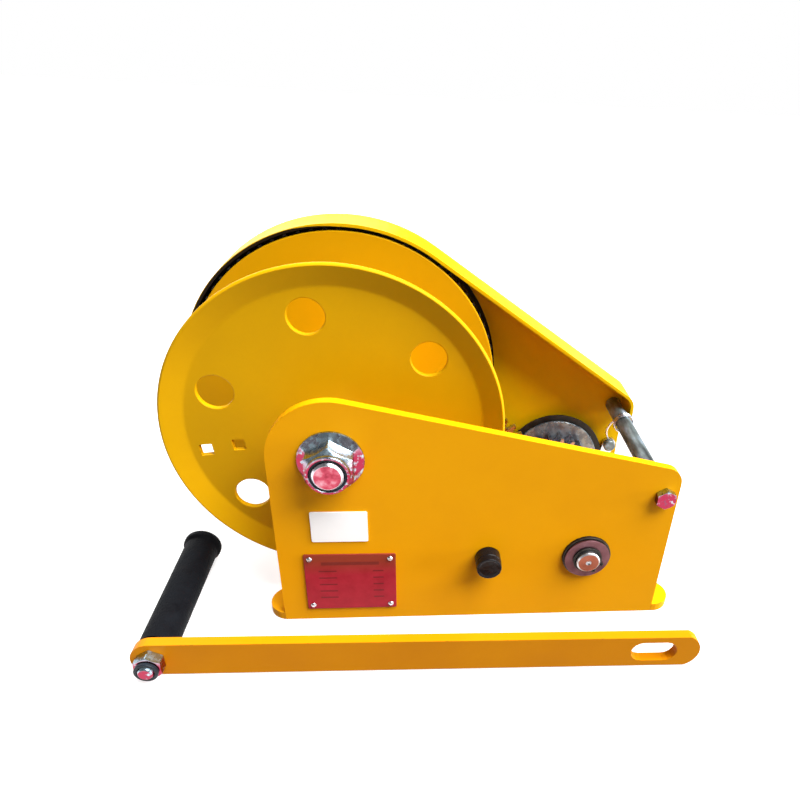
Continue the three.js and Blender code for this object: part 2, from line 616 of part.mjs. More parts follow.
// A wire spring: two turns round the tie tube and a leg that presses on the pawl's pin head.
function pawlSpring() {
  const points = [];
  const steps = 34;
  for (let i = 0; i <= steps; i += 1) {
    const part = i / steps;
    const angle = SPRING.start + part * SPRING.turns * 2 * Math.PI;
    points.push(new THREE.Vector3(
      TIE.x + SPRING.coilR * Math.cos(angle),
      SPRING.y + part * SPRING.length,
      TIE.z + SPRING.coilR * Math.sin(angle),
    ));
  }
  points.push(new THREE.Vector3(TIE.x - 10.5, 108.5, TIE.z - 4));
  points.push(new THREE.Vector3(TIE.x - 10.5, 115, TIE.z - 14));
  points.push(new THREE.Vector3(PAWL.x - 6.5, 125, PAWL.z + 14));
  points.push(new THREE.Vector3(PAWL.x - 2, 133.2, PAWL.z + 7));
  const section = new THREE.Shape();
  arc(section, 0, 0, SPRING.wireR, 0, (2 * Math.PI * 5) / 6, 5);
  const wire = new THREE.ExtrudeGeometry(section, {
    steps: 56, bevelEnabled: false, extrudePath: new THREE.CatmullRomCurve3(points),
  });
  add('pawl_spring', wire, ZINC);
}

// ---------------------------------------------------------------- crank
// Built in its own group: X along the arm, Y out of its rear face, origin on the grip's axis.
function crank() {
  const group = new THREE.Group();
  group.position.set(GRIP.x, GRIP.y, GRIP.z);
  group.rotation.z = ARM_TURN;
  const axis = { x: 0, z: 0 };
  const half = ARM_H / 2;
  const tipR = 14.8;
  const tipHalf = Math.asin(half / tipR);
  const arm = new THREE.Shape();
  arc(arm, ARM_REACH - tipR, 0, tipR, -tipHalf, tipHalf, 14);
  arc(arm, 0, 0, half, Math.PI / 2, 1.5 * Math.PI, 16);
  arm.closePath();
  arm.holes.push(obround(EYE.x0, EYE.x1, 0, EYE.r, THREE.Path));
  const bore = GRIP_BOLT_R + GAP;
  circleHole(arm, 0, 0, bore);
  add('crank_arm', slab(arm, -ARM_T, 0), YELLOW, group);
  const head = slab(hexShape(15, axis), GRIP_L - 6.5, GRIP_L - 1);
  const shank = rod(GRIP_BOLT_R, -ARM_T - 12.2, GRIP_L - 6, axis, 20);
  add('grip_bolt', join(head, shank), ZINC, group);
  const nutEnd = -ARM_T - 8;
  const nut = hexShape(17, axis);
  circleHole(nut, 0, 0, bore);
  add('grip_lock_nut', slab(nut, nutEnd, -ARM_T - GAP), ZINC, group);
  add('grip_nut_ring', ring(7.6, bore, nutEnd - 2.8, nutEnd - GAP, axis, 20), RUBBER, group);
  add('grip_washer', ring(11, bore, GAP, 2, axis, 20), ZINC, group);
  const skin = [
    [12.2, GRIP_FOOT], [12.4, GRIP_L - 12], [12.7, GRIP_L - 8], [14.2, GRIP_L - 6],
    [14.2, GRIP_L - 2], [12.9, GRIP_L],
  ];
  const recess = [
    [9.2, GRIP_L], [9.2, GRIP_L - 7], [bore, GRIP_L - 7], [bore, GRIP_FOOT], [12.2, GRIP_FOOT],
  ];
  add('grip', turned([...skin, ...recess], axis, 24), RUBBER, group);
  puller.add(group);
}

frontSidePlate();
rearSidePlate();
basePlate();
tieRod();
labels();
drumBolt();
drum();
countershaft();
driveShaft();
bearingCover();
crankHub();
pawl();
pawlSpring();
crank();

export default puller;
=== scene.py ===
# Hand winch for wire rope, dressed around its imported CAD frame.
# Shapes are worked out in millimetres in the frame's axes and written to meshes in metres:
# X runs along the side plates, Y from the front plate to the rear plate, Z is up.
import json
import math

import bmesh
import bpy
from mathutils import Matrix, Vector, noise


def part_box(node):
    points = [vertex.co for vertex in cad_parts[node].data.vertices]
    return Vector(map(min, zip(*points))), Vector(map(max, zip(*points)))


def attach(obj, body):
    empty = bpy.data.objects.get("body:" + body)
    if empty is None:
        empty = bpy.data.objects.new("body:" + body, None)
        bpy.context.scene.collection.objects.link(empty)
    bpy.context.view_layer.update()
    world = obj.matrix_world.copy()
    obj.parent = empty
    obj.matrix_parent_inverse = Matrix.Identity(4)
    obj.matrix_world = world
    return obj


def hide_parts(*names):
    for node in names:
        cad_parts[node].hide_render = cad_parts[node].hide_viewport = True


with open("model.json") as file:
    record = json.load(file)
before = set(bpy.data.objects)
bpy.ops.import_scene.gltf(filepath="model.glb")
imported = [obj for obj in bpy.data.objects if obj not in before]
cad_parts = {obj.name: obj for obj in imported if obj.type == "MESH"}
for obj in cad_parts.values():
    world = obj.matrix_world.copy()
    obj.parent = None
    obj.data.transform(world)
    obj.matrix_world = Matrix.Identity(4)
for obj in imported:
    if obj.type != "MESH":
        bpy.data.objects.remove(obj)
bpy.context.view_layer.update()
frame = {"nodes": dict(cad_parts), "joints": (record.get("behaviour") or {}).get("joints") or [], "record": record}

MM = 0.001
NODES = frame["nodes"]
RECORD = frame["record"]
SLOT_OF = {part["node"]: part["material_slot"] for part in RECORD["subparts"]}
BODY_OF = {node: body for body, nodes in RECORD["behaviour"]["bodies"].items() for node in nodes}

# ---------------------------------------------------------------- driving sizes, in millimetres
SHARP_ANGLE = 38          # degrees; a flatter edge than this is shaded smooth
TURN_STEPS = 96           # facets round a turned piece
HEX_STEPS = 120           # facets round a hexagon, 20 to a side
FILLET_STEPS = 4

DISH_CREASE_R = 100.5     # where the front flange's rim starts to lean forward
DISH = 4.6                # how far the rim leans forward
DISH_BEND = 1.4           # rounding of the crease
FLANGE_T = 4.0
FLANGE_STEPS = 180        # facets round a drum flange
FLANGE_BORE_R = 18.3
WEB_HOLES = 6
WEB_HOLE_R = 12
WEB_HOLE_CHAMFER = 0.5
WEB_HOLE_PITCH = 82       # from the drum's axis
WEB_HOLE_PHASE = 40.3     # degrees
SQUARE_HOLE = 8.6
SQUARE_PITCHES = (68, 90.5)
SQUARE_ANGLE = 190.5      # degrees round the drum
SQUARE_TURN = 6           # degrees each square hole is turned by
CUT_PAST = 4              # how far a cutter reaches past the web

NUT_FLATS = {"drum": 30, "tie": 13, "hub": 17, "grip_nut": 17, "grip_head": 15}
THREAD_PITCH = {"drum": 2.5, "tie": 1.25, "grip": 1.5}
# radius of the thread, of the plain shank and of a clearance hole
M20_R, M20_SHANK_R, M20_HOLE_R = 10, 9.9, 10.3
M10_R, M10_SHANK_R, M10_HOLE_R = 5, 4.95, 5.3
M8_R, M8_SHANK_R, M8_HOLE_R = 4, 3.95, 4.3
DRUM_HEAD_T = 12.4
DRUM_THREAD_L = 30
TIE_HEAD_T = 5.3
TIE_THREAD_L = 22
REFLECTION_END_R = 8.2          # part of the drum bolt's end painted with a crimson reflection
NYLON_R = 11.7            # locking ring of the drum nut
CROWN_R = 13.9            # metal lip that holds it

NAMEPLATE_ROWS = 5        # blank printed lines

SPRING_WIRE_R = 0.8
SPRING_COIL_R = 8
SPRING_TURNS = 2.1
SPRING_COIL_L = 4.4
SPRING_START = 81         # degrees round the tie tube

SHAFT_R, SHAFT_HOLE_R = 8.5, 8.8
SHAFT_STUD_R = 5          # threaded rear end of the drive shaft
SHAFT_STUD_L = 27
SHAFT_DRILL_R = 1.9       # centre drilled in its front end
CLIP_GAP_AT = -42         # degrees; the retaining ring opens at the lower right
CLIP_HALF_GAP = 13

RIM_SHADE_FADE_R = 104       # painted shade starts here on the guard's inner face
RIM_SHADE_FULL_R = 116.5
RIM_SHADE_EDGE_R = 118.6     # inner radius of the guard rim
RIM_SHADE_EDGE_SOFT = 0.3
RIM_SHADE_OVER_EDGE = 1.8    # the painted shade reaches this far over the rim's front edge left of the drum's top
RIM_SHADE_OVER_FROM = 35     # and fades out over this length, up to the top

GRIP_TURN = math.radians(-0.97)   # the loose crank lies almost along X
GRIP_LENGTH = 112
GRIP_START = 2.6                  # gap for the washer between the arm and the grip
GRIP_R = 12.15
GRIP_FLARE = 1.75                 # how far the free end swells
GRIP_RECESS = (9.2, 7)            # radius and depth of the hole for the bolt's head
PEBBLE = 0.22                     # height of the grip's moulded pebbles
PEBBLE_SCALE = 0.95               # pebbles per millimetre
ARM_T = 7

FLOOR_HALF = 6.0                  # metres
CAMERA_AT = (-0.0449, -0.4331, 0.3667)                      # metres
CAMERA_YAW, CAMERA_PITCH, CAMERA_ROLL = 6.54, 30.82, -3.42  # degrees
CAMERA_LENS = 29.61
CAMERA_SHIFT = (-0.0978, 0.0558)
ROOM_SEEN, ROOM_AMBIENT = 1.0, 0.25
SUNS = {                          # towards the lamp, strength, width in degrees
    "key": ((0.5, -0.17, 0.85), 10.2, 50),
    "side": ((0.97, -0.15, 0.10), 2.4, 22),
    "back_fill": ((-0.35, 0.85, 0.4), 2.0, 60),
}


# ---------------------------------------------------------------- places taken from the frame
def extent(node):
    low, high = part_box(node)
    return [value / MM for pair in zip(low, high) for value in pair]


def centre(node):
    x0, x1, _, _, z0, z1 = extent(node)
    return ((x0 + x1) / 2, (z0 + z1) / 2)


def along(node):
    return extent(node)[2:4]


def radius(node):
    x0, x1 = extent(node)[:2]
    return (x1 - x0) / 2


DRUM = centre("rear_flange")
COUNTER = centre("counter_collar")
DRIVE = centre("pressure_disc")
TIE = centre("tie_tube")


# ---------------------------------------------------------------- mesh helpers
def new_mesh(name, verts, faces):
    mesh = bpy.data.meshes.new(name)
    mesh.from_pydata([Vector(v) * MM for v in verts], [], faces)
    return tidy_mesh(mesh)


def tidy_mesh(mesh):
    bm = bmesh.new()
    bm.from_mesh(mesh)
    bmesh.ops.remove_doubles(bm, verts=bm.verts, dist=1e-6)
    bmesh.ops.recalc_face_normals(bm, faces=bm.faces)
    bm.to_mesh(mesh)
    bm.free()
    return mesh


def add_object(name, data):
    obj = bpy.data.objects.new(name, data)
    bpy.context.scene.collection.objects.link(obj)
    return obj


def taken_mesh(obj, name):
    """The object's final mesh, with its modifiers applied. The object itself is removed."""
    bpy.context.view_layer.update()
    graph = bpy.context.evaluated_depsgraph_get()
    mesh = bpy.data.meshes.new_from_object(obj.evaluated_get(graph))
    bpy.data.objects.remove(obj)
    mesh.materials.clear()
    mesh.name = name
    return mesh


def smooth(obj):
    obj.data.shade_smooth()
    obj.data.set_sharp_from_angle(angle=math.radians(SHARP_ANGLE))
    weights = obj.modifiers.new("even_normals", "WEIGHTED_NORMAL")
    weights.keep_sharp = True


def piece(name, mesh, node, material, stands_for=True):
    """A fine piece on the node's body, with the material given."""
    obj = add_object(name, mesh)
    mesh.materials.append(material)
    smooth(obj)
    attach(obj, BODY_OF[node])
    if stands_for:
        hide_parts(node)
    return obj


def on_circle(at, r, degrees):
    angle = math.radians(degrees)
    return (at[0] + r * math.cos(angle), at[1] + r * math.sin(angle))


def arc(at, r, start, end, steps):
    """Points on an arc in X and Z, from start to end degrees."""
    return [on_circle(at, r, start + (end - start) * i / steps) for i in range(steps + 1)]


def rounded(profile):
    """An open profile of (radius, y, rounding) corners, with each rounding drawn as a short curve."""
    out = []
    for i, (r, y, fillet) in enumerate(profile):
        here = Vector((r, y))
        if fillet <= 0 or i in (0, len(profile) - 1):
            out.append(here)
            continue
        before = Vector(profile[i - 1][:2]) - here
        after = Vector(profile[i + 1][:2]) - here
        reach = min(fillet, before.length * 0.45, after.length * 0.45)
        start = here + before.normalized() * reach
        end = here + after.normalized() * reach
        for k in range(FILLET_STEPS + 1):
            t = k / FILLET_STEPS
            out.append(start * (1 - t) ** 2 + here * 2 * t * (1 - t) + end * t ** 2)
    return out


def turned(name, at, steps, path_at, closed, phase=0.0):
    """Sweeps a path of (radius, y) points about an axis along Y. path_at gives the path at an angle."""
    rows = []
    for i in range(steps):
        angle = 2 * math.pi * (i + phase) / steps
        cos, sin = math.cos(angle), math.sin(angle)
        rows.append([(at[0] + r * cos, y, at[1] + r * sin) for r, y in path_at(angle)])
    count = len(rows[0])
    faces = []
    for i in range(steps):
        j = (i + 1) % steps
        for k in range(count if closed else count - 1):
            n = (k + 1) % count
            faces.append((i * count + k, i * count + n, j * count + n, j * count + k))
    return new_mesh(name, [point for row in rows for point in row], faces)


def lathe(name, profile, at, steps=TURN_STEPS, closed=False):
    """Turns a profile about an axis along Y. A closed profile repeats its first corner's place."""
    points = rounded(profile)
    if closed:
        points = points[:-1]
    return turned(name, at, steps, lambda angle: points, closed)


def ring(name, outer, inner, y0, y1, at, edge, steps=TURN_STEPS):
    middle = (y0 + y1) / 2
    profile = [(outer, middle, 0), (outer, y1, edge), (inner, y1, edge), (inner, y0, edge),
               (outer, y0, edge), (outer, middle, 0)]
    return lathe(name, profile, at, steps, closed=True)


def node_ring(node, inner, edge):
    y0, y1 = along(node)
    return ring(node + "_mesh", radius(node), inner, y0, y1, centre(node), edge)


def plate(name, outline, holes, y0, y1, edge):
    """A flat plate in X and Z with its edges and holes rounded over."""
    curve = bpy.data.curves.new(name, "CURVE")
    curve.dimensions = "2D"
    curve.fill_mode = "BOTH"
    for points in [outline, *holes]:
        spline = curve.splines.new("POLY")
        spline.points.add(len(points) - 1)
        for point, (x, z) in zip(spline.points, points):
            point.co = (x * MM, z * MM, 0, 1)
        spline.use_cyclic_u = True
    curve.extrude = ((y1 - y0) / 2 - edge) * MM
    curve.bevel_depth = edge * MM
    curve.bevel_resolution = 2
    curve.offset = -edge * MM
    mesh = taken_mesh(add_object(name + "_curve", curve), name)
    middle = (y0 + y1) / 2 * MM
    mesh.transform(Matrix.Translation((0, middle, 0)) @ Matrix.Rotation(math.pi / 2, 4, "X"))
    return tidy_mesh(mesh)


def merged(name, *meshes):
    """One mesh made of several."""
    bm = bmesh.new()
    for mesh in meshes:
        bm.from_mesh(mesh)
    out = bpy.data.meshes.new(name)
    bm.to_mesh(out)
    bm.free()
    return out


def box_points(x0, x1, z0, z1, corner, steps=6):
    points = []
    for cx, cz, start in ((x1 - corner, z0 + corner, -90), (x1 - corner, z1 - corner, 0),
                          (x0 + corner, z1 - corner, 90), (x0 + corner, z0 + corner, 180)):
        points += arc((cx, cz), corner, start, start + 90, steps)
    return points


# ---------------------------------------------------------------- fasteners
def hex_radius(flats, angle):
    """Distance from the axis to a hexagon's side in a direction given in radians."""
    turn = (angle + math.pi / 6) % (math.pi / 3) - math.pi / 6
    return flats / 2 / math.cos(turn)


def hexagon(name, flats, y0, y1, at, bore, chamfer0=True, chamfer1=True):
    """A hexagonal nut, or a head where the bore is 0. The ends asked for are turned off at 30 degrees."""
    face_r = flats / 2 * 0.95
    slope = math.tan(math.radians(30))
    lip = 0.5

    def path(angle):
        side = hex_radius(flats, angle)
        drop = (side - face_r) * slope
        low = y0 + (drop if chamfer0 else 0)
        high = y1 - (drop if chamfer1 else 0)
        outside = [(face_r, y0), (side, low), (side, high), (face_r, y1)]
        if not bore:
            return [(0, y0), *outside, (0, y1)]
        return [(bore, y0 + lip), (bore + lip, y0), *outside, (bore + lip, y1), (bore, y1 - lip)]

    return turned(name, at, HEX_STEPS, path, bool(bore), 0.5)


def thread(name, r, pitch, y0, y1, at, tip_low=True, tip_high=False):
    """A threaded length, its crests drawn as rings, with a chamfered tip."""
    depth = pitch * 0.5
    tip = depth * 1.1
    profile = [(0, y0, 0)]
    profile += [(r - tip, y0, 0.2), (r - 0.1, y0 + tip, 0.1)] if tip_low else [(r, y0, 0)]
    start = profile[-1][1]
    stop = y1 - (tip if tip_high else 0)
    for i in range(int((stop - start) / pitch)):
        root = start + (i + 0.5) * pitch
        profile += [(r - depth, root, 0.15), (r, root + pitch / 2, 0.1)]
    profile += [(r - tip, y1, 0.2)] if tip_high else [(r, y1, 0)]
    profile.append((0, y1, 0))
    return lathe(name, profile, at, 64)


def flange_nut():
    """M20 nut with a turned flange and a round crown that holds the nylon ring."""
    top, foot = along("drum_flange_nut")
    crown = along("nut_locking_ring")[0]
    outer = radius("drum_flange_nut")
    skirt = foot - 4.3
    face_r = NUT_FLATS["drum"] / 2 * 0.93

    def path(angle):
        side = hex_radius(NUT_FLATS["drum"], angle)
        drop = (side - face_r) * 0.9
        seat = [(M20_HOLE_R, foot), (M20_HOLE_R, top - 0.2), (NYLON_R, top - 0.2), (NYLON_R, crown + 0.3)]
        lip = [(NYLON_R + 0.3, crown), (CROWN_R - 1.2, crown), (CROWN_R - 0.4, crown + 0.3),
               (CROWN_R, crown + 1.0), (CROWN_R, top + 0.1)]
        hexagonal = [(face_r + 0.2, top + 0.3), (side - 0.12, top + drop), (side, top + drop + 0.35),
                     (side, skirt - 0.5), (side + 0.5, skirt)]
        flange = [(outer - 0.9, foot - 2.1), (outer - 0.15, foot - 1.6), (outer, foot - 1.1),
                  (outer, foot - 0.3), (outer - 0.3, foot)]
        return seat + lip + hexagonal + flange

    return turned("flange_nut_mesh", DRUM, 144, path, True, 0.5)


# ---------------------------------------------------------------- material helpers
class Nodes:
    """A short way to lay out one material's nodes."""

    def __init__(self, name):
        self.material = bpy.data.materials.new(name)
        self.material.use_nodes = True
        self.tree = self.material.node_tree
        self.shader = self.tree.nodes["Principled BSDF"]
        self.place = self.tree.nodes.new("ShaderNodeTexCoord").outputs["Object"]

    def node(self, kind, **values):
        made = self.tree.nodes.new(kind)
        for key, value in values.items():
            setattr(made, key, value)
        return made

    def link(self, source, target):
        self.tree.links.new(source, target)

    def noise(self, scale, detail, stretch=(1, 1, 1)):
        mapping = self.node("ShaderNodeMapping")
        mapping.inputs["Scale"].default_value = stretch
        self.link(self.place, mapping.inputs["Vector"])
        made = self.node("ShaderNodeTexNoise")
        made.inputs["Scale"].default_value = scale
        made.inputs["Detail"].default_value = detail
        made.inputs["Roughness"].default_value = 0.55
        self.link(mapping.outputs["Vector"], made.inputs["Vector"])
        return made.outputs["Fac"]

    def ramp(self, source, *stops):
        made = self.node("ShaderNodeValToRGB")
        elements = made.color_ramp.elements
        while len(elements) < len(stops):
            elements.new(0.5)
        for element, (position, colour) in zip(elements, stops):
            element.position = position
            element.color = (*colour, 1)
        self.link(source, made.inputs["Fac"])
        return made.outputs["Color"]

    def remap(self, source, low, high, to_low, to_high):
        made = self.node("ShaderNodeMapRange")
        for key, value in zip(("From Min", "From Max", "To Min", "To Max"), (low, high, to_low, to_high)):
            made.inputs[key].default_value = value
        self.link(source, made.inputs["Value"])
        return made.outputs["Result"]

    def mix(self, factor, first, second):
        made = self.node("ShaderNodeMix", data_type="RGBA")
        self.link(factor, made.inputs["Factor"])
        for socket, value in ((made.inputs[6], first), (made.inputs[7], second)):
            if isinstance(value, tuple):
                socket.default_value = (*value, 1)
            else:
                self.link(value, socket)
        return made.outputs[2]

    def combine(self, operation, first, second):
        made = self.node("ShaderNodeMath", operation=operation)
        self.link(first, made.inputs[0])
        self.link(second, made.inputs[1])
        return made.outputs[0]

    def multiply(self, first, second):
        return self.combine("MULTIPLY", first, second)

    def split(self, vector):
        """The X, Y and Z of a vector."""
        made = self.node("ShaderNodeSeparateXYZ")
        self.link(vector, made.inputs["Vector"])
        return made.outputs

    def edge_mask(self, width):
        """1 along sharp edges and 0 on flat stretches."""
        bevel = self.node("ShaderNodeBevel", samples=4)
        bevel.inputs["Radius"].default_value = width * MM
        geometry = self.node("ShaderNodeNewGeometry")
        dot = self.node("ShaderNodeVectorMath", operation="DOT_PRODUCT")
        self.link(bevel.outputs["Normal"], dot.inputs[0])
        self.link(geometry.outputs["Normal"], dot.inputs[1])
        return self.remap(dot.outputs["Value"], 0.995, 0.86, 0.0, 1.0)

    def bump(self, height, distance, strength, under=None):
        made = self.node("ShaderNodeBump")
        made.inputs["Distance"].default_value = distance * MM
        made.inputs["Strength"].default_value = strength
        self.link(height, made.inputs["Height"])
        if under is not None:
            self.link(under, made.inputs["Normal"])
        return made.outputs["Normal"]

    def set(self, **values):
        names = {"colour": "Base Color", "roughness": "Roughness", "metallic": "Metallic",
                 "normal": "Normal", "specular": "Specular IOR Level"}
        for key, value in values.items():
            socket = self.shader.inputs[names[key]]
            if isinstance(value, bpy.types.NodeSocket):
                self.link(value, socket)
            else:
                socket.default_value = (*value, 1) if isinstance(value, tuple) else value
        return self.material


# ---------------------------------------------------------------- materials
def rim_shade_mask(m):
    """1 on the inside of the guard rim, fading inwards: painted shade, near black, for the deep shade between the
    drum gear and the rim. Left of the drum's top it covers the rim's front edge too. The plate's outer face is
    left out."""
    mapping = m.node("ShaderNodeMapping")
    mapping.inputs["Location"].default_value = (-DRUM[0] * MM, 0, -DRUM[1] * MM)
    mapping.inputs["Scale"].default_value = (1, 0, 1)
    m.link(m.place, mapping.inputs["Vector"])
    length = m.node("ShaderNodeVectorMath", operation="LENGTH")
    m.link(mapping.outputs["Vector"], length.inputs[0])
    out = length.outputs["Value"]
    across = m.split(mapping.outputs["Vector"])["X"]
    over_edge = m.remap(across, -RIM_SHADE_OVER_FROM * MM, 0.0, RIM_SHADE_OVER_EDGE * MM, 0.0)
    edge = RIM_SHADE_EDGE_R * MM
    inside = m.remap(m.combine("SUBTRACT", out, over_edge), edge, edge + RIM_SHADE_EDGE_SOFT * MM, 1.0, 0.0)
    spread = m.remap(out, RIM_SHADE_FADE_R * MM, RIM_SHADE_FULL_R * MM, 0.0, 1.0)
    back = along("rear_side_plate")[1]
    indoors = m.remap(m.split(m.place)["Y"], (back - 3) * MM, (back - 2) * MM, 1.0, 0.0)
    return m.multiply(m.multiply(inside, spread), indoors)


def enamel(name, base, deep, lit, rim_shade=False):
    """Satin enamel over steel: cloudy colour, orange peel, thin worn edges and a few chips."""
    m = Nodes(name)
    cloud = m.noise(14, 5)
    speckle = m.noise(420, 2)
    body = m.ramp(cloud, (0.25, deep), (0.5, base), (0.8, lit))
    grain = m.mix(m.remap(speckle, 0.35, 0.7, 0.0, 0.16), body, deep)
    chips = m.remap(m.noise(260, 6), 0.60, 0.66, 0.0, 0.75)
    worn = m.multiply(m.edge_mask(0.9), chips)
    colour = m.mix(worn, grain, (0.16, 0.075, 0.012))
    # painted shade: the guard rim's inside is darkened to near black
    if rim_shade:
        colour = m.mix(rim_shade_mask(m), colour, (0.012, 0.007, 0.003))
    peel = m.bump(m.noise(620, 2), 0.05, 0.35)
    waves = m.bump(m.noise(70, 2), 0.18, 0.25, peel)
    return m.set(colour=colour, roughness=m.remap(cloud, 0.3, 0.7, 0.38, 0.52), normal=waves,
                 specular=0.05)


def plated(name, light, dark, tint, rough=(0.18, 0.34), stretch=(1, 1, 1), metallic=1.0):
    """Bright zinc plating with the faint pink and blue tints of its passivation."""
    m = Nodes(name)
    cloud = m.noise(160, 4, stretch)
    tone = m.ramp(cloud, (0.3, dark), (0.5, light), (0.72, tint))
    pits = m.remap(m.noise(1500, 3), 0.62, 0.72, 0.0, 0.35)
    colour = m.mix(pits, tone, tuple(value * 0.35 for value in dark))
    normal = m.bump(m.noise(900, 3, stretch), 0.03, 0.5)
    return m.set(colour=colour, roughness=m.remap(cloud, 0.3, 0.7, *rough), metallic=metallic,
                 normal=normal)


def reflection_tinted_zinc(name, sky_reflection, crimson_reflection, dark):
    """Zinc with a painted reflection: a bluish sky colour on upward faces and crimson on level and lower ones,
    broken by random streaks and dark specks.
    """
    m = Nodes(name)
    facing = m.split(m.node("ShaderNodeTexCoord").outputs["Normal"])["Z"]
    streak = m.noise(260, 5)
    # painted reflection: upward faces take the sky colour, level and lower ones the crimson one
    up = m.remap(facing, 0.08, 0.5, 0.0, 1.0)
    reflection_blend = m.combine("ADD", up, m.remap(streak, 0.54, 0.64, 0.0, 0.85))
    tone = m.mix(m.remap(reflection_blend, 0.0, 1.0, 0.0, 1.0), crimson_reflection, sky_reflection)
    colour = m.mix(m.remap(m.noise(420, 4), 0.55, 0.66, 0.0, 0.5), tone, dark)
    return m.set(colour=colour, roughness=m.remap(streak, 0.3, 0.7, 0.16, 0.34), metallic=1.0,
                 normal=m.bump(m.noise(700, 3), 0.04, 0.5))


def machined(name, at, light, dark, rough=(0.24, 0.4), metallic=1.0):
    """Turned steel with fine rings about an axis along Y."""
    m = Nodes(name)
    mapping = m.node("ShaderNodeMapping")
    mapping.inputs["Location"].default_value = (-at[0] * MM, 0, -at[1] * MM)
    m.link(m.place, mapping.inputs["Vector"])
    rings = m.node("ShaderNodeTexWave", wave_type="RINGS", rings_direction="Y")
    rings.inputs["Scale"].default_value = 380
    rings.inputs["Distortion"].default_value = 1.2
    m.link(mapping.outputs["Vector"], rings.inputs["Vector"])
    groove = rings.outputs["Fac"]
    cloud = m.noise(120, 4)
    tone = m.mix(m.remap(cloud, 0.3, 0.7, 0.0, 1.0), dark, light)
    colour = m.mix(m.remap(groove, 0.0, 1.0, 0.0, 0.22), tone, tuple(v * 0.6 for v in dark))
    return m.set(colour=colour, roughness=m.remap(cloud, 0.3, 0.7, *rough), metallic=metallic,
                 normal=m.bump(groove, 0.03, 0.4))


def blackened(name, base, dust):
    """Black oxide with dull dust in it and brighter steel on rubbed edges."""
    m = Nodes(name)
    cloud = m.noise(130, 5)
    tone = m.ramp(cloud, (0.35, base), (0.7, dust))
    rubbed = m.multiply(m.edge_mask(0.5), m.remap(m.noise(350, 4), 0.45, 0.62, 0.0, 0.6))
    colour = m.mix(rubbed, tone, (0.22, 0.21, 0.2))
    return m.set(colour=colour, roughness=m.remap(cloud, 0.3, 0.7, 0.38, 0.6), metallic=0.6,
                 normal=m.bump(m.noise(800, 3), 0.04, 0.5))


def moulded(name, base, sheen, pebble, gloss, rough=(0.5, 0.72)):
    """Moulded rubber or nylon with a pebbled skin."""
    m = Nodes(name)
    cells = m.node("ShaderNodeTexVoronoi")
    cells.inputs["Scale"].default_value = pebble
    m.link(m.place, cells.inputs["Vector"])
    cloud = m.noise(90, 4)
    tone = m.ramp(cloud, (0.35, base), (0.72, sheen))
    colour = m.mix(m.remap(cells.outputs["Distance"], 0.1, 0.6, 0.0, 0.35), tone, sheen)
    return m.set(colour=colour, roughness=m.remap(cloud, 0.3, 0.7, *rough), specular=gloss,
                 normal=m.bump(cells.outputs["Distance"], 0.16, 0.6))


def between(m, source, low, high, soft=0.4 * MM):
    """1 where the source lies between two values."""
    rise = m.remap(source, low - soft, low, 0.0, 1.0)
    fall = m.remap(source, high, high + soft, 1.0, 0.0)
    return m.multiply(rise, fall)


def nameplate_enamel():
    """Crimson printed sheet: a browner band along its top, and rows of plain blank lines."""
    m = Nodes("nameplate_enamel")
    x0, x1, _, _, z0, z1 = extent("nameplate")
    low, high = (z0 + 8) * MM, (z1 - 12) * MM
    place = m.split(m.place)
    across, up = place["X"], place["Z"]
    cloud = m.noise(110, 4)
    crimson = m.ramp(cloud, (0.3, (0.34, 0.010, 0.022)), (0.7, (0.43, 0.018, 0.034)))
    band = m.remap(up, (z1 - 19) * MM, (z1 - 5) * MM, 0.0, 1.0)
    colour = m.mix(band, crimson, (0.27, 0.035, 0.015))
    rows = m.node("ShaderNodeMath", operation="FRACT")
    m.link(m.remap(up, low, high, 0.0, NAMEPLATE_ROWS), rows.inputs[0])
    lines = m.multiply(between(m, rows.outputs[0], 0.40, 0.56, 0.03), between(m, up, low, high))
    left = between(m, across, (x0 + 10) * MM, (x0 + 22) * MM)
    right = between(m, across, (x1 - 16) * MM, (x1 - 9) * MM)
    printed = m.multiply(lines, m.combine("ADD", left, right))
    header = m.multiply(between(m, up, (z1 - 9.5) * MM, (z1 - 7) * MM),
                        between(m, across, (x0 + 12) * MM, (x1 - 12) * MM))
    colour = m.mix(m.remap(printed, 0.0, 1.0, 0.0, 0.7), colour, (0.09, 0.008, 0.010))
    colour = m.mix(m.remap(header, 0.0, 1.0, 0.0, 0.6), colour, (0.10, 0.012, 0.010))
    worn = m.multiply(m.edge_mask(0.5), m.remap(m.noise(320, 4), 0.4, 0.6, 0.0, 0.8))
    colour = m.mix(worn, colour, (0.10, 0.03, 0.03))
    return m.set(colour=colour, roughness=m.remap(cloud, 0.3, 0.7, 0.36, 0.5),
                 normal=m.bump(m.noise(700, 3), 0.03, 0.4), specular=0.15)


def vinyl():
    m = Nodes("label_vinyl")
    cloud = m.noise(80, 4)
    colour = m.ramp(cloud, (0.3, (0.95, 0.95, 0.95)), (0.7, (0.98, 0.98, 0.98)))
    return m.set(colour=colour, roughness=m.remap(cloud, 0.3, 0.7, 0.35, 0.5),
                 normal=m.bump(m.noise(500, 3), 0.02, 0.3))


def floor_finish():
    """A pale light table, so that shadows on it stay soft and faint."""
    m = Nodes("floor_finish")
    cloud = m.noise(3, 3)
    colour = m.ramp(cloud, (0.3, (0.54, 0.54, 0.54)), (0.7, (0.58, 0.58, 0.58)))
    m.shader.inputs["Emission Color"].default_value = (1, 1, 1, 1)
    m.shader.inputs["Emission Strength"].default_value = 0.62
    return m.set(colour=colour, roughness=0.85)
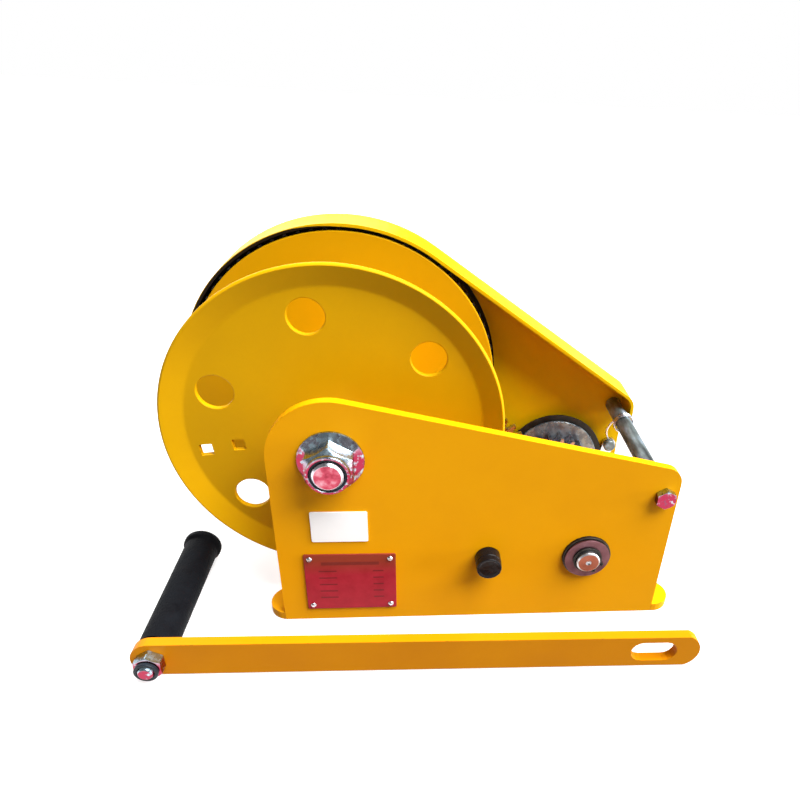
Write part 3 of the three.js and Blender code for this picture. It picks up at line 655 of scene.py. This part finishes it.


# each paint is its usual tone, a deeper one and a lighter one. The drum, guard and crank paints are the front's
# yellow with painted shade: darker, and shifted in hue, where those parts get less light
FRONT_PAINT = ((0.80, 0.345, 0.001), (0.76, 0.320, 0.001), (0.82, 0.365, 0.001))
DRUM_SHADED_PAINT = ((0.64, 0.335, 0.001), (0.60, 0.305, 0.001), (0.68, 0.360, 0.001))
GUARD_SHADED_PAINT = ((0.72, 0.440, 0.001), (0.66, 0.390, 0.001), (0.76, 0.470, 0.001))
CRANK_SHADED_PAINT = ((0.61, 0.215, 0.001), (0.56, 0.190, 0.001), (0.65, 0.240, 0.001))
YELLOW = enamel("yellow_enamel", *FRONT_PAINT)
GUARD_SHADED_YELLOW = enamel("guard_shaded_enamel", *GUARD_SHADED_PAINT, rim_shade=True)
DRUM_SHADED_YELLOW = enamel("drum_shaded_enamel", *DRUM_SHADED_PAINT)
CRANK_SHADED_YELLOW = enamel("crank_shaded_enamel", *CRANK_SHADED_PAINT)
ZINC = plated("zinc", (0.52, 0.54, 0.58), (0.32, 0.31, 0.34), (0.58, 0.46, 0.52))
# painted reflection: crimson zinc for the drum bolt's end face
CRIMSON_REFLECTION_ZINC = plated("crimson_reflection_zinc", (0.36, 0.055, 0.085), (0.20, 0.02, 0.035), (0.50, 0.26, 0.30), (0.34, 0.5))
TUBE_ZINC = plated("tube_zinc", (0.14, 0.17, 0.17), (0.045, 0.05, 0.05), (0.32, 0.40, 0.50), (0.3, 0.5),
                   (1, 0.3, 1), 0.5)
FASTENER = reflection_tinted_zinc("zinc_painted_reflection", (0.36, 0.47, 0.54), (0.26, 0.022, 0.050), (0.10, 0.07, 0.11))
STEEL = machined("steel", DRUM, (0.55, 0.56, 0.58), (0.38, 0.38, 0.4))
DISC_STEEL = machined("disc_steel", DRIVE, (0.34, 0.40, 0.42), (0.06, 0.08, 0.12), (0.2, 0.34), 0.6)
WASHER_STEEL = machined("washer_steel", DRIVE, (0.19, 0.095, 0.11), (0.11, 0.05, 0.06), (0.35, 0.5))
RUST_END = machined("oiled_shaft_end", DRIVE, (0.36, 0.13, 0.08), (0.24, 0.075, 0.045), (0.4, 0.55))
BLACK = blackened("black_oxide", (0.010, 0.009, 0.008), (0.030, 0.027, 0.022))
BRONZE = machined("bronze", COUNTER, (0.55, 0.34, 0.12), (0.38, 0.22, 0.07))
RUBBER = moulded("rubber", (0.002, 0.002, 0.003), (0.005, 0.006, 0.008), 850, 0.05)
PLUG = moulded("plug_rubber", (0.003, 0.003, 0.004), (0.006, 0.006, 0.008), 300, 0.16, (0.2, 0.34))
NYLON = moulded("nylon", (0.006, 0.009, 0.013), (0.012, 0.018, 0.026), 400, 0.15, (0.3, 0.45))
BY_SLOT = {"yellow_paint": YELLOW, "zinc_plate": ZINC, "bare_steel": STEEL, "black_steel": BLACK,
           "bronze": BRONZE, "black_rubber": RUBBER, "black_nylon": NYLON}
BY_NODE = {"crank_arm": CRANK_SHADED_YELLOW, "rear_side_plate": GUARD_SHADED_YELLOW, "drum_barrel": DRUM_SHADED_YELLOW}


# ---------------------------------------------------------------- CAD nodes that keep their shape
# how far each one's edges are rounded
KEPT_EDGES = {
    "front_side_plate": 0.7, "rear_side_plate": 0.9, "base_plate": 0.7, "crank_arm": 0.7,
    "drum_gear": 0.25, "counter_gear": 0.25, "counter_pinion": 0.25, "drive_pinion": 0.25,
    "ratchet_wheel": 0.2, "pawl": 0.3, "crank_hub": 0.4,
}


def dress_kept_nodes():
    """Joins the facets of flat faces and rounds the sharp edges, without moving any face."""
    for node, width in KEPT_EDGES.items():
        obj = NODES[node]
        flats = obj.modifiers.new("join_flats", "DECIMATE")
        flats.decimate_type = "DISSOLVE"
        flats.angle_limit = math.radians(0.5)
        edges = obj.modifiers.new("round_edges", "BEVEL")
        edges.width = width * MM
        edges.segments = 3
        edges.limit_method = "ANGLE"
        edges.angle_limit = math.radians(SHARP_ANGLE)
        edges.miter_outer = "MITER_ARC"
        smooth(obj)


def paint_all_nodes():
    for node, obj in NODES.items():
        obj.data.materials.clear()
        obj.data.materials.append(BY_NODE.get(node) or BY_SLOT.get(SLOT_OF[node], ZINC))


# ---------------------------------------------------------------- drum
def cut_away(obj, cutter, name):
    carve = obj.modifiers.new("carve", "BOOLEAN")
    carve.operation = "DIFFERENCE"
    carve.solver = "EXACT"
    carve.object = cutter
    mesh = taken_mesh(obj, name)
    bpy.data.objects.remove(cutter)
    return mesh


def round_hole_cutter(at, front, back):
    """A cutter whose waist is the hole and whose ends open it out by a small chamfer."""
    wide = WEB_HOLE_R + WEB_HOLE_CHAMFER
    profile = [(0, front - CUT_PAST, 0), (wide, front - CUT_PAST, 0), (wide, front, 0),
               (WEB_HOLE_R, front + WEB_HOLE_CHAMFER, 0), (WEB_HOLE_R, back - WEB_HOLE_CHAMFER, 0),
               (wide, back, 0), (wide, back + CUT_PAST, 0), (0, back + CUT_PAST, 0)]
    return lathe("hole", profile, at, 64)


def square_hole_cutter(at, front, back):
    half = SQUARE_HOLE / 2
    turn = math.radians(SQUARE_TURN)
    cos, sin = math.cos(turn), math.sin(turn)
    corners = [(at[0] + a * cos - b * sin, at[1] + a * sin + b * cos)
               for a, b in box_points(-half, half, -half, half, 0.6, 3)]
    return plate("hole", corners, [], front - 2 * CUT_PAST, back + 2 * CUT_PAST, 0.01)


def flange_holes(front, back):
    meshes = []
    for i in range(WEB_HOLES):
        at = on_circle(DRUM, WEB_HOLE_PITCH, WEB_HOLE_PHASE + 360 / WEB_HOLES * i)
        meshes.append(round_hole_cutter(at, front, back))
    for pitch in SQUARE_PITCHES:
        meshes.append(square_hole_cutter(on_circle(DRUM, pitch, SQUARE_ANGLE), front, back))
    return add_object("cutter", merged("holes", *meshes))


def front_flange():
    front = along("front_flange")[0]
    web, back = front + DISH, front + DISH + FLANGE_T
    middle = (web + back) / 2
    outer = radius("front_flange")
    profile = [
        (FLANGE_BORE_R, middle, 0), (FLANGE_BORE_R, web, 0.3), (DISH_CREASE_R, web, DISH_BEND),
        (outer - 1.4, front, 0.5), (outer, front + 1.2, 1.2), (outer, front + FLANGE_T - 0.9, 1.2),
        (outer - 1.2, front + FLANGE_T, 0.6), (DISH_CREASE_R - 1, back, DISH_BEND),
        (FLANGE_BORE_R, back, 0.3), (FLANGE_BORE_R, middle, 0)]
    blank = add_object("blank", lathe("blank", profile, DRUM, FLANGE_STEPS, closed=True))
    mesh = cut_away(blank, flange_holes(web, back), "front_flange_mesh")
    piece("front_drum_flange", mesh, "front_flange", DRUM_SHADED_YELLOW)


def rear_flange():
    y0, y1 = along("rear_flange")
    outer = radius("rear_flange")
    mesh = ring("rear_flange_mesh", outer, FLANGE_BORE_R, y0, y1, DRUM, 1.1, FLANGE_STEPS)
    piece("rear_drum_flange", mesh, "rear_flange", DRUM_SHADED_YELLOW)


def shank(r, y0, y1, at):
    """A plain length of a bolt."""
    return lathe("shank", [(0, y0, 0), (r, y0, 0), (r, y1, 0), (0, y1, 0)], at, 64)


def tint_end(obj, material, at, y, low, high):
    """Gives the end face in front of y, between two radii about the axis, a material of its own."""
    obj.data.materials.append(material)
    for face in obj.data.polygons:
        spot = face.center / MM
        r = math.hypot(spot.x - at[0], spot.z - at[1])
        if spot.y < y and low < r < high:
            face.material_index = 1


def drum_bolt():
    y0, y1 = along("drum_bolt")
    head0 = y1 - DRUM_HEAD_T
    threaded = thread("thread", M20_R, THREAD_PITCH["drum"], y0, y0 + DRUM_THREAD_L, DRUM)
    plain = shank(M20_SHANK_R, y0 + DRUM_THREAD_L, head0 + 1, DRUM)
    head = hexagon("head", NUT_FLATS["drum"], head0, y1, DRUM, 0, False, True)
    bolt = piece("drum_axle_bolt", merged("drum_bolt_mesh", threaded, plain, head), "drum_bolt", ZINC)
    # painted reflection: the bolt's end face is coloured crimson
    tint_end(bolt, CRIMSON_REFLECTION_ZINC, DRUM, y0 + 0.3, -1, REFLECTION_END_R)
    piece("drum_nut", flange_nut(), "drum_flange_nut", FASTENER)
    y0, y1 = along("nut_locking_ring")
    nylon = ring("nylon", NYLON_R - 0.05, M20_HOLE_R - 0.1, y0 + 0.5, y1, DRUM, 0.6)
    piece("nylon_ring", nylon, "nut_locking_ring", NYLON)
    washer = node_ring("drum_bolt_washer", M20_HOLE_R, 0.4)
    piece("drum_bolt_plain_washer", washer, "drum_bolt_washer", ZINC)


# ---------------------------------------------------------------- frame trim
def tie_rod():
    y0, y1 = along("tie_bolt")
    thread0 = y1 - TIE_THREAD_L
    head = hexagon("head", NUT_FLATS["tie"], y0, y0 + TIE_HEAD_T, TIE, 0, True, False)
    plain = shank(M8_SHANK_R, y0 + TIE_HEAD_T - 0.3, thread0, TIE)
    tip = thread("tip", M8_R, THREAD_PITCH["tie"], thread0, y1, TIE, False, True)
    piece("tie_hex_bolt", merged("tie_bolt_mesh", head, plain, tip), "tie_bolt", FASTENER)
    piece("tie_spacer_tube", node_ring("tie_tube", M8_HOLE_R, 0.5), "tie_tube", TUBE_ZINC)
    y0, y1 = along("tie_bolt_nut")
    piece("tie_nut", hexagon("nut", NUT_FLATS["tie"], y0, y1, TIE, M8_HOLE_R), "tie_bolt_nut", ZINC)


def flat_sheet(node, corner, edge, holes=()):
    """A thin sheet that fills the node's box, with rounded corners."""
    x0, x1, y0, y1, z0, z1 = extent(node)
    return plate(node + "_mesh", box_points(x0, x1, z0, z1, corner), holes, y0, y1, edge)


def nameplate():
    rivets = [f"nameplate_rivet_{i + 1}" for i in range(4)]
    holes = [arc(centre(rivet), 1.4, 0, 345, 23) for rivet in rivets]
    sheet = flat_sheet("nameplate", 1.2, 0.22, holes)
    piece("crimson_nameplate", sheet, "nameplate", nameplate_enamel())
    for i, rivet in enumerate(rivets):
        y0, y1 = along(rivet)
        profile = [(0, y0, 0), (1.0, y0, 0.7), (2.1, y0 + 1.2, 0.25), (1.1, y0 + 1.2, 0.05),
                   (1.1, y1, 0.2), (0, y1, 0)]
        piece(f"dome_rivet_{i + 1}", lathe(rivet, profile, centre(rivet), 40), rivet, ZINC)
    piece("white_label", flat_sheet("blank_label", 1.2, 0.12), "blank_label", vinyl())


def shaft_plug():
    """Rubber plug over the countershaft's end, with a groove round its middle."""
    y0, y1 = along("countershaft_cap")
    outer = radius("countershaft_cap")
    groove, bore, floor = outer - 0.25, 6.8, y0 + 3.2
    profile = [(0, y0 + 0.5, 0), (outer - 2.4, y0 + 0.4, 0.3), (outer - 1.6, y0, 0.4),
               (outer - 0.4, y0, 0.9), (outer, y0 + 4, 0.2), (groove, y0 + 4.3, 0.1),
               (groove, y0 + 4.8, 0.1), (outer, y0 + 5.1, 0.2), (outer, y1, 0.3),
               (bore, y1, 0.2), (bore, floor, 0.3), (0, floor, 0)]
    piece("shaft_plug", lathe("cap", profile, COUNTER, 72), "countershaft_cap", PLUG)


# ---------------------------------------------------------------- drive shaft
def bearing(node):
    """Ball bearing drawn as its outer ring, seal and inner ring."""
    y0, y1 = along(node)
    outer = radius(node)
    outer_ring = node_ring(node, outer - 2.6, 0.4)
    seal = ring("seal", outer - 2.7, 11.5, y0 + 0.5, y1 - 0.5, DRIVE, 0.3)
    inner_ring = ring("inner", 11.4, SHAFT_HOLE_R, y0, y1, DRIVE, 0.4)
    piece(node + "_outer_ring", outer_ring, node, BLACK)
    piece(node + "_seal", seal, node, RUBBER, False)
    piece(node + "_inner_ring", inner_ring, node, STEEL, False)


def snap_ring():
    """External retaining ring with two drilled lugs, its gap at the lower right."""
    y0, y1 = along("shaft_clip")
    lug_r = radius("shaft_clip") + 1.5
    outer = lug_r - 2.4
    start, end = CLIP_GAP_AT + CLIP_HALF_GAP, CLIP_GAP_AT + 360 - CLIP_HALF_GAP
    outline = arc(DRIVE, outer, start + 16, end - 16, 60)
    outline += arc(DRIVE, lug_r, end - 12, end, 4)
    outline += arc(DRIVE, SHAFT_HOLE_R + 0.1, end, start, 60)
    outline += arc(DRIVE, lug_r, start, start + 12, 4)
    lugs = [on_circle(DRIVE, outer + 0.6, angle) for angle in (start + 6.5, end - 6.5)]
    holes = [arc(lug, 0.8, 0, 345, 15) for lug in lugs]
    piece("retaining_ring", plate("clip", outline, holes, y0, y1, 0.15), "shaft_clip", BLACK)


def drive_shaft():
    y0, y1 = along("drive_shaft")
    shoulder = y1 - SHAFT_STUD_L
    end_r = SHAFT_R - 1.2
    profile = [(0, y0 + 2.0, 0), (SHAFT_DRILL_R, y0 + 0.2, 0.1), (SHAFT_DRILL_R + 0.3, y0, 0.1),
               (end_r, y0, 0.2), (SHAFT_R, y0 + 1, 0.2), (SHAFT_R, shoulder, 0.3),
               (SHAFT_STUD_R, shoulder, 0.2), (SHAFT_STUD_R, y1 - 1, 0.4), (SHAFT_STUD_R - 1, y1, 0.2),
               (0, y1, 0)]
    shaft = piece("brake_shaft", lathe("shaft", profile, DRIVE, 80), "drive_shaft", STEEL)
    tint_end(shaft, RUST_END, DRIVE, y0 + 0.15, SHAFT_DRILL_R, end_r + 0.1)
    for name, node, edge, material in (
            ("drive_washer", "shaft_washer", 0.35, WASHER_STEEL),
            ("brake_pressure_disc", "pressure_disc", 0.5, DISC_STEEL),
            ("brake_lining", "friction_disc", 0.3, BLACK)):
        piece(name, node_ring(node, SHAFT_HOLE_R, edge), node, material)
    snap_ring()
    bearing("front_bearing")
    bearing("rear_bearing")


def rear_cover():
    y0, y1 = along("bearing_cover")
    outer = radius("bearing_cover")
    seat, bore, shelf = 17.8, 10.5, y0 + 3
    profile = [(seat, y0 + 1, 0), (seat, y0, 0.1), (outer, y0, 0.3), (outer, y0 + 3.2, 1.0),
               (22, y0 + 3.2, 1.4), (20.5, y1, 1.4), (bore, y1, 0.8), (bore, shelf, 0.3),
               (seat, shelf, 0.3), (seat, y0 + 1, 0)]
    cover = lathe("cover", profile, DRIVE, 112, closed=True)
    piece("rear_bearing_cover", cover, "bearing_cover", YELLOW)
    for i in range(3):
        node = f"cover_screw_{i + 1}"
        a, b = along(node)
        profile = [(0, a, 0), (1.9, a, 0.2), (1.9, b - 2.2, 0.05), (3.6, b - 2.2, 0.2),
                   (3.4, b - 0.7, 0.8), (1.5, b, 0.3), (1.4, b - 1.3, 0.1), (0, b - 1.3, 0)]
        piece(f"cover_pan_screw_{i + 1}", lathe(node, profile, centre(node), 40), node, ZINC)


def hub_fasteners():
    y0, y1 = along("hub_nut")
    nut = hexagon("nut", NUT_FLATS["hub"], y0, y1, DRIVE, M10_HOLE_R)
    piece("crank_hub_nut", nut, "hub_nut", ZINC)
    piece("crank_hub_washer", node_ring("hub_washer", M10_HOLE_R, 0.4), "hub_washer", ZINC)


def joint_place(child):
    """Where the joint of a body stands, in metres."""
    return Vector(next(joint["pos_m"] for joint in frame["joints"] if joint["child"] == child))


def pawl_pin():
    y0, y1 = along("pawl_pin")
    pivot = joint_place("pawl") / MM
    head_r, pin_r, head1 = 5.2, 3, y0 + 3.5
    profile = [(0, y0, 0), (head_r - 0.8, y0, 0.5), (head_r, y0 + 0.7, 0.4), (head_r, head1, 0.3),
               (pin_r, head1, 0.1), (pin_r, y1, 0.4), (0, y1, 0)]
    piece("pawl_shoulder_pin", lathe("pin", profile, (pivot.x, pivot.z), 56), "pawl_pin", TUBE_ZINC)


def spring_route():
    """Two turns round the tie tube and a leg that reaches the pawl's pin head."""
    pivot = joint_place("pawl") / MM
    low = along("pawl_spring")[0] + SPRING_WIRE_R
    steps = 60
    route = []
    for i in range(steps + 1):
        part = i / steps
        x, z = on_circle(TIE, SPRING_COIL_R, SPRING_START + part * SPRING_TURNS * 360)
        route.append((x, low + part * SPRING_COIL_L, z))
    side = TIE[0] - 10.5
    route += [(side, low + 6.5, TIE[1] - 4), (side, low + 13, TIE[1] - 14),
              (pivot.x - 6.5, low + 23, pivot.z + 14), (pivot.x - 2, low + 31.2, pivot.z + 7)]
    return route


def pawl_spring():
    """Bent wire, which stays with the frame."""
    curve = bpy.data.curves.new("spring_curve", "CURVE")
    curve.dimensions = "3D"
    curve.bevel_depth = SPRING_WIRE_R * MM
    curve.bevel_resolution = 3
    curve.use_fill_caps = True
    route = spring_route()
    spline = curve.splines.new("NURBS")
    spline.points.add(len(route) - 1)
    for point, place in zip(spline.points, route):
        point.co = (*(Vector(place) * MM), 1)
    spline.order_u = 4
    spline.use_endpoint_u = True
    spline.resolution_u = 6
    mesh = taken_mesh(add_object("spring_curve", curve), "spring_mesh")
    piece("wire_spring", tidy_mesh(mesh), "pawl_spring", ZINC)


# ---------------------------------------------------------------- loose crank
def crank_frame():
    """From grip coordinates, Y along the grip's axis out of the arm, to the frame."""
    return Matrix.Translation(joint_place("grip")) @ Matrix.Rotation(GRIP_TURN, 4, "Z")


def grip_radius(y):
    """The grip's plain outer radius: nearly straight, with a swollen free end that is rounded over."""
    base = GRIP_R + 0.35 * y / GRIP_LENGTH
    flare = max(0.0, min(1.0, (y - (GRIP_LENGTH - 9)) / 4))
    tail = max(0.0, (y - (GRIP_LENGTH - 2.2)) / 2.2)
    return base + GRIP_FLARE * flare * flare * (3 - 2 * flare) - 1.6 * tail * tail


def grip_skin():
    """The whole grip: its pebbled outside, a recess for the bolt's head and the bolt's hole."""
    rows = 240
    heights = [GRIP_START + (GRIP_LENGTH - GRIP_START) * k / rows for k in range(rows + 1)]
    recess_r, recess = GRIP_RECESS
    inside = [(recess_r + 0.2, GRIP_LENGTH), (recess_r, GRIP_LENGTH - 0.5),
              (recess_r, GRIP_LENGTH - recess), (M10_HOLE_R, GRIP_LENGTH - recess),
              (M10_HOLE_R, GRIP_START)]

    def path(angle):
        outside = []
        for y in heights:
            spot = Vector((math.cos(angle) * 12.5, y, math.sin(angle) * 12.5)) * PEBBLE_SCALE
            lump = noise.noise(spot, noise_basis="VORONOI_F1")
            fade = min(1.0, (y - GRIP_START) / 3, (GRIP_LENGTH - y) / 3)
            dip = PEBBLE * max(0.0, min(1.0, lump * 1.4)) * fade
            outside.append((grip_radius(y) - dip, y))
        return outside + inside

    return turned("grip_mesh", (0, 0), 168, path, True)


def crank_fittings():
    turn = crank_frame()
    axis = (0, 0)
    nut1, nut0 = -ARM_T - 0.3, -ARM_T - 8

    def fitted(name, mesh, node, material):
        mesh.transform(turn)
        return piece(name, mesh, node, material)

    fitted("pebbled_grip", grip_skin(), "grip", RUBBER)
    nut = hexagon("nut", NUT_FLATS["grip_nut"], nut0, nut1, axis, M10_HOLE_R, True, False)
    fitted("grip_nut", nut, "grip_lock_nut", FASTENER)
    nylon = ring("ring", 7.6, M10_HOLE_R, nut0 - 2.8, nut0 - 0.3, axis, 0.9, 64)
    fitted("grip_nylon_ring", nylon, "grip_nut_ring", NYLON)
    washer = ring("washer", 11, M10_HOLE_R, 0.3, 2, axis, 0.3, 64)
    fitted("grip_plain_washer", washer, "grip_washer", ZINC)
    tip = thread("tip", M10_R, THREAD_PITCH["grip"], nut0 - 4.2, 4, axis)
    plain = shank(M10_SHANK_R, 4, GRIP_LENGTH - 6, axis)
    head0, head1 = GRIP_LENGTH - 6.5, GRIP_LENGTH - 1
    head = hexagon("head", NUT_FLATS["grip_head"], head0, head1, axis, 0, False, True)
    fitted("grip_axle_bolt", merged("grip_bolt_mesh", tip, plain, head), "grip_bolt", FASTENER)


# ---------------------------------------------------------------- stage, lights and camera
def stage():
    half = FLOOR_HALF
    mesh = bpy.data.meshes.new("floor")
    corners = [(-half, -half, 0), (half, -half, 0), (half, half, 0), (-half, half, 0)]
    mesh.from_pydata(corners, [], [(0, 1, 2, 3)])
    mesh.materials.append(floor_finish())
    floor = add_object("floor", mesh)
    floor.location.z = -0.4 * MM
    floor.visible_diffuse = False


def sun(name, towards, strength, softness):
    """A far lamp. towards points from the object to the lamp, and softness is its width in degrees."""
    light = bpy.data.lights.new(name, "SUN")
    light.energy = strength
    light.angle = math.radians(softness)
    holder = add_object(name, light)
    holder.rotation_euler = (-Vector(towards)).to_track_quat("-Z", "Y").to_euler()


def studio_world(seen, ambient):
    """A white room: what the camera sees of it is brighter than the light that it gives."""
    world = bpy.data.worlds.new("studio")
    world.use_nodes = True
    background = world.node_tree.nodes["Background"]
    background.inputs["Color"].default_value = (1.0, 1.0, 1.0, 1)
    path = world.node_tree.nodes.new("ShaderNodeLightPath")
    level = world.node_tree.nodes.new("ShaderNodeMapRange")
    level.inputs["To Min"].default_value = ambient
    level.inputs["To Max"].default_value = seen
    world.node_tree.links.new(path.outputs["Is Camera Ray"], level.inputs["Value"])
    world.node_tree.links.new(level.outputs["Result"], background.inputs["Strength"])
    bpy.context.scene.world = world


def lights():
    studio_world(ROOM_SEEN, ROOM_AMBIENT)
    for name, settings in SUNS.items():
        sun(name, *settings)


def camera():
    """A close, high view of the front plate, a little from its left, rolled slightly."""
    yaw, pitch, roll = (math.radians(angle) for angle in (CAMERA_YAW, CAMERA_PITCH, CAMERA_ROLL))
    forward = Vector((math.sin(yaw) * math.cos(pitch), math.cos(yaw) * math.cos(pitch), -math.sin(pitch)))
    right = Vector((math.cos(yaw), -math.sin(yaw), 0))
    down = forward.cross(right)
    rolled_right = right * math.cos(roll) + down * math.sin(roll)
    rolled_down = down * math.cos(roll) - right * math.sin(roll)
    data = bpy.data.cameras.new("camera")
    data.sensor_width = 36
    data.lens = CAMERA_LENS
    data.shift_x, data.shift_y = CAMERA_SHIFT
    data.clip_start = 0.01
    holder = add_object("camera", data)
    turn = Matrix((rolled_right, -rolled_down, -forward)).transposed().to_4x4()
    holder.matrix_world = Matrix.Translation(CAMERA_AT) @ turn
    bpy.context.scene.camera = holder


bpy.context.scene.view_settings.view_transform = "Standard"
camera()
stage()
lights()
paint_all_nodes()
dress_kept_nodes()
front_flange()
rear_flange()
drum_bolt()
tie_rod()
nameplate()
shaft_plug()
drive_shaft()
rear_cover()
hub_fasteners()
pawl_pin()
pawl_spring()
crank_fittings()

bpy.context.view_layer.update()
